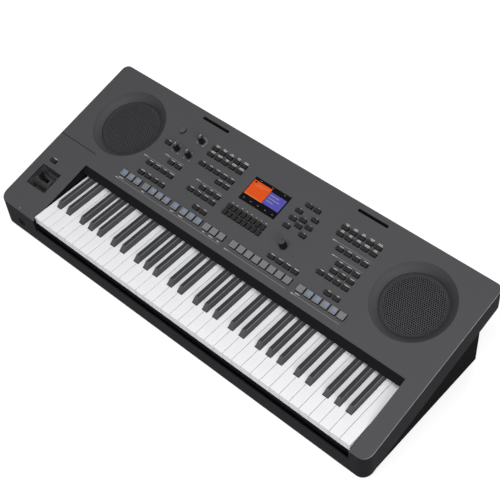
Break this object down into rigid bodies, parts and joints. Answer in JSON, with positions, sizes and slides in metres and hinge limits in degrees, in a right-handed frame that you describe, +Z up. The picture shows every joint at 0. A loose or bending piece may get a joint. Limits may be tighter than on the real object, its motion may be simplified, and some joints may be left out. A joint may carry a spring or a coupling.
{
  "type": "arranger keyboard",
  "caption": "Arranger keyboard: sloping charcoal casing with sprung piano keys, twin round speakers, a colour display, button and pad rows, knobs and a joystick.",
  "frame": {"origin": "middle of the bounding box in plan, on the surface the feet stand on", "axes": "+X to the player's right along the keys, +Y away from the player, +Z up"},
  "size_m": [1, 0.402, 0.1746],
  "materials": {
    "deck_plastic": "satin charcoal",
    "tray_plastic": "matte near-black",
    "white_key_plastic": "glossy white",
    "black_key_plastic": "satin black",
    "button_plastic": "matte black",
    "pad_plastic": "satin grey",
    "knob_plastic": "matte black",
    "dial_plastic": "satin grey",
    "window_plastic": "glossy black",
    "grille_metal": "satin dark grey",
    "speaker_black": "matte black",
    "circuit_board": "green lacquer",
    "component_plastic": "matte black",
    "steel": "bright",
    "felt": "felt",
    "rubber": "matte black"
  },
  "bodies": {
    "case": {"upper_case": "deck_plastic", "bottom_panel": "tray_plastic", "side_panels": "tray_plastic", "rear_panel": "tray_plastic", "rear_cover": "tray_plastic", "front_rail": "tray_plastic", "keyboard_chassis": "tray_plastic", "key_pivot_rod": "steel", "key_stop_felt": "felt", "key_contact_board": "circuit_board", "key_contact_rubber": "rubber", "potentiometers": "component_plastic", "panel_switches": "component_plastic", "left_panel_board": "circuit_board", "center_panel_board": "circuit_board", "right_panel_board": "circuit_board", "main_board": "circuit_board", "display_window": "window_plastic", "display_module": "component_plastic", "speaker_grilles": "grille_metal", "speakers": "speaker_black", "rear_jacks": "component_plastic", "usb_socket": "steel", "dc_inlet": "component_plastic", "phones_jack": "component_plastic", "joystick_tub": "tray_plastic", "rubber_feet": "rubber", "case_screws": "steel"},
    "c_keys": {"c_keys": "white_key_plastic"},
    "c_sharp_keys": {"c_sharp_keys": "black_key_plastic"},
    "d_keys": {"d_keys": "white_key_plastic"},
    "d_sharp_keys": {"d_sharp_keys": "black_key_plastic"},
    "e_keys": {"e_keys": "white_key_plastic"},
    "f_keys": {"f_keys": "white_key_plastic"},
    "f_sharp_keys": {"f_sharp_keys": "black_key_plastic"},
    "g_keys": {"g_keys": "white_key_plastic"},
    "g_sharp_keys": {"g_sharp_keys": "black_key_plastic"},
    "a_keys": {"a_keys": "white_key_plastic"},
    "a_sharp_keys": {"a_sharp_keys": "black_key_plastic"},
    "b_keys": {"b_keys": "white_key_plastic"},
    "left_column_buttons": {"left_column_buttons": "button_plastic"},
    "left_upper_buttons": {"left_upper_buttons": "button_plastic"},
    "left_lower_buttons": {"left_lower_buttons": "button_plastic"},
    "display_buttons": {"display_buttons": "button_plastic"},
    "cursor_buttons": {"cursor_buttons": "button_plastic"},
    "center_buttons": {"center_buttons": "button_plastic"},
    "right_upper_buttons": {"right_upper_buttons": "button_plastic"},
    "right_lower_buttons": {"right_lower_buttons": "button_plastic"},
    "mode_button": {"mode_button": "button_plastic"},
    "left_pads": {"left_pads": "pad_plastic"},
    "section_pads": {"section_pads": "pad_plastic"},
    "center_pads": {"center_pads": "pad_plastic"},
    "right_pads": {"right_pads": "pad_plastic"},
    "power_button": {"power_button": "button_plastic"},
    "volume_knob": {"volume_knob": "knob_plastic"},
    "left_level_knob": {"left_level_knob": "knob_plastic"},
    "right_level_knob": {"right_level_knob": "knob_plastic"},
    "data_dial": {"data_dial": "dial_plastic"},
    "joystick_drum": {"joystick_drum": "knob_plastic"},
    "joystick_lever": {"joystick_lever": "knob_plastic"}
  },
  "joints": [
    {"name": "joystick_drum_tilt", "type": "hinge", "parent": "case", "child": "joystick_drum", "pos_m": [-0.4465, -0.11003, 0.07262], "axis": [1, 0, 0], "range_deg": [-15, 15], "stiffness_Nm_per_rad": 0.6},
    {"name": "joystick_lever_tilt", "type": "hinge", "parent": "joystick_drum", "child": "joystick_lever", "pos_m": [-0.4465, -0.11003, 0.07262], "axis": [0, 0.9715, 0.2368], "range_deg": [-22, 22], "stiffness_Nm_per_rad": 0.4},
    {"name": "c_keys_pivot", "type": "hinge", "parent": "case", "child": "c_keys", "pos_m": [0, 0.013, 0.074], "axis": [1, 0, 0], "range_deg": [0, 2.7], "stiffness_Nm_per_rad": 8.5, "springref_deg": -4.01},
    {"name": "c_sharp_keys_pivot", "type": "hinge", "parent": "case", "child": "c_sharp_keys", "pos_m": [0, 0.013, 0.074], "axis": [1, 0, 0], "range_deg": [0, 2.7], "stiffness_Nm_per_rad": 8.5, "springref_deg": -4.01},
    {"name": "d_keys_pivot", "type": "hinge", "parent": "case", "child": "d_keys", "pos_m": [0, 0.013, 0.074], "axis": [1, 0, 0], "range_deg": [0, 2.7], "stiffness_Nm_per_rad": 8.5, "springref_deg": -4.01},
    {"name": "d_sharp_keys_pivot", "type": "hinge", "parent": "case", "child": "d_sharp_keys", "pos_m": [0, 0.013, 0.074], "axis": [1, 0, 0], "range_deg": [0, 2.7], "stiffness_Nm_per_rad": 8.5, "springref_deg": -4.01},
    {"name": "e_keys_pivot", "type": "hinge", "parent": "case", "child": "e_keys", "pos_m": [0, 0.013, 0.074], "axis": [1, 0, 0], "range_deg": [0, 2.7], "stiffness_Nm_per_rad": 8.5, "springref_deg": -4.01},
    {"name": "f_keys_pivot", "type": "hinge", "parent": "case", "child": "f_keys", "pos_m": [0, 0.013, 0.074], "axis": [1, 0, 0], "range_deg": [0, 2.7], "stiffness_Nm_per_rad": 8.5, "springref_deg": -4.01},
    {"name": "f_sharp_keys_pivot", "type": "hinge", "parent": "case", "child": "f_sharp_keys", "pos_m": [0, 0.013, 0.074], "axis": [1, 0, 0], "range_deg": [0, 2.7], "stiffness_Nm_per_rad": 8.5, "springref_deg": -4.01},
    {"name": "g_keys_pivot", "type": "hinge", "parent": "case", "child": "g_keys", "pos_m": [0, 0.013, 0.074], "axis": [1, 0, 0], "range_deg": [0, 2.7], "stiffness_Nm_per_rad": 8.5, "springref_deg": -4.01},
    {"name": "g_sharp_keys_pivot", "type": "hinge", "parent": "case", "child": "g_sharp_keys", "pos_m": [0, 0.013, 0.074], "axis": [1, 0, 0], "range_deg": [0, 2.7], "stiffness_Nm_per_rad": 8.5, "springref_deg": -4.01},
    {"name": "a_keys_pivot", "type": "hinge", "parent": "case", "child": "a_keys", "pos_m": [0, 0.013, 0.074], "axis": [1, 0, 0], "range_deg": [0, 2.7], "stiffness_Nm_per_rad": 8.5, "springref_deg": -4.01},
    {"name": "a_sharp_keys_pivot", "type": "hinge", "parent": "case", "child": "a_sharp_keys", "pos_m": [0, 0.013, 0.074], "axis": [1, 0, 0], "range_deg": [0, 2.7], "stiffness_Nm_per_rad": 8.5, "springref_deg": -4.01},
    {"name": "b_keys_pivot", "type": "hinge", "parent": "case", "child": "b_keys", "pos_m": [0, 0.013, 0.074], "axis": [1, 0, 0], "range_deg": [0, 2.7], "stiffness_Nm_per_rad": 8.5, "springref_deg": -4.01},
    {"name": "left_column_buttons_press", "type": "slide", "parent": "case", "child": "left_column_buttons", "axis": [0, 0.2368, -0.9715], "range_m": [0, 0.001], "stiffness_N_per_m": 3600, "springref_m": -0.002},
    {"name": "left_upper_buttons_press", "type": "slide", "parent": "case", "child": "left_upper_buttons", "axis": [0, 0.2368, -0.9715], "range_m": [0, 0.001], "stiffness_N_per_m": 3300, "springref_m": -0.002},
    {"name": "left_lower_buttons_press", "type": "slide", "parent": "case", "child": "left_lower_buttons", "axis": [0, 0.2368, -0.9715], "range_m": [0, 0.001], "stiffness_N_per_m": 5100, "springref_m": -0.002},
    {"name": "display_buttons_press", "type": "slide", "parent": "case", "child": "display_buttons", "axis": [0, 0.2368, -0.9715], "range_m": [0, 0.001], "stiffness_N_per_m": 5100, "springref_m": -0.002},
    {"name": "cursor_buttons_press", "type": "slide", "parent": "case", "child": "cursor_buttons", "axis": [0, 0.2368, -0.9715], "range_m": [0, 0.001], "stiffness_N_per_m": 3300, "springref_m": -0.002},
    {"name": "center_buttons_press", "type": "slide", "parent": "case", "child": "center_buttons", "axis": [0, 0.2368, -0.9715], "range_m": [0, 0.001], "stiffness_N_per_m": 1500, "springref_m": -0.002},
    {"name": "right_upper_buttons_press", "type": "slide", "parent": "case", "child": "right_upper_buttons", "axis": [0, 0.2368, -0.9715], "range_m": [0, 0.001], "stiffness_N_per_m": 3300, "springref_m": -0.002},
    {"name": "right_lower_buttons_press", "type": "slide", "parent": "case", "child": "right_lower_buttons", "axis": [0, 0.2368, -0.9715], "range_m": [0, 0.001], "stiffness_N_per_m": 5100, "springref_m": -0.002},
    {"name": "mode_button_press", "type": "slide", "parent": "case", "child": "mode_button", "axis": [0, 0.2368, -0.9715], "range_m": [0, 0.001], "stiffness_N_per_m": 600, "springref_m": -0.002},
    {"name": "left_pads_press", "type": "slide", "parent": "case", "child": "left_pads", "axis": [0, 0.2368, -0.9715], "range_m": [0, 0.001], "stiffness_N_per_m": 2700, "springref_m": -0.002},
    {"name": "section_pads_press", "type": "slide", "parent": "case", "child": "section_pads", "axis": [0, 0.2368, -0.9715], "range_m": [0, 0.001], "stiffness_N_per_m": 2100, "springref_m": -0.002},
    {"name": "center_pads_press", "type": "slide", "parent": "case", "child": "center_pads", "axis": [0, 0.2368, -0.9715], "range_m": [0, 0.001], "stiffness_N_per_m": 2700, "springref_m": -0.002},
    {"name": "right_pads_press", "type": "slide", "parent": "case", "child": "right_pads", "axis": [0, 0.2368, -0.9715], "range_m": [0, 0.001], "stiffness_N_per_m": 2100, "springref_m": -0.002},
    {"name": "power_button_press", "type": "slide", "parent": "case", "child": "power_button", "axis": [0, 0.2368, -0.9715], "range_m": [0, 0.0015], "stiffness_N_per_m": 600, "springref_m": -0.002},
    {"name": "volume_knob_turn", "type": "hinge", "parent": "case", "child": "volume_knob", "pos_m": [-0.2065, 0.13681, 0.15235], "axis": [0, -0.2368, 0.9715], "range_deg": [-150, 150]},
    {"name": "left_level_knob_turn", "type": "hinge", "parent": "case", "child": "left_level_knob", "pos_m": [-0.2405, 0.09503, 0.14217], "axis": [0, -0.2368, 0.9715], "range_deg": [-150, 150]},
    {"name": "right_level_knob_turn", "type": "hinge", "parent": "case", "child": "right_level_knob", "pos_m": [-0.2065, 0.09503, 0.14217], "axis": [0, -0.2368, 0.9715], "range_deg": [-150, 150]},
    {"name": "data_dial_turn", "type": "hinge", "parent": "case", "child": "data_dial", "pos_m": [0.101, 0.04305, 0.1295], "axis": [0, -0.2368, 0.9715], "continuous": true}
  ]
}
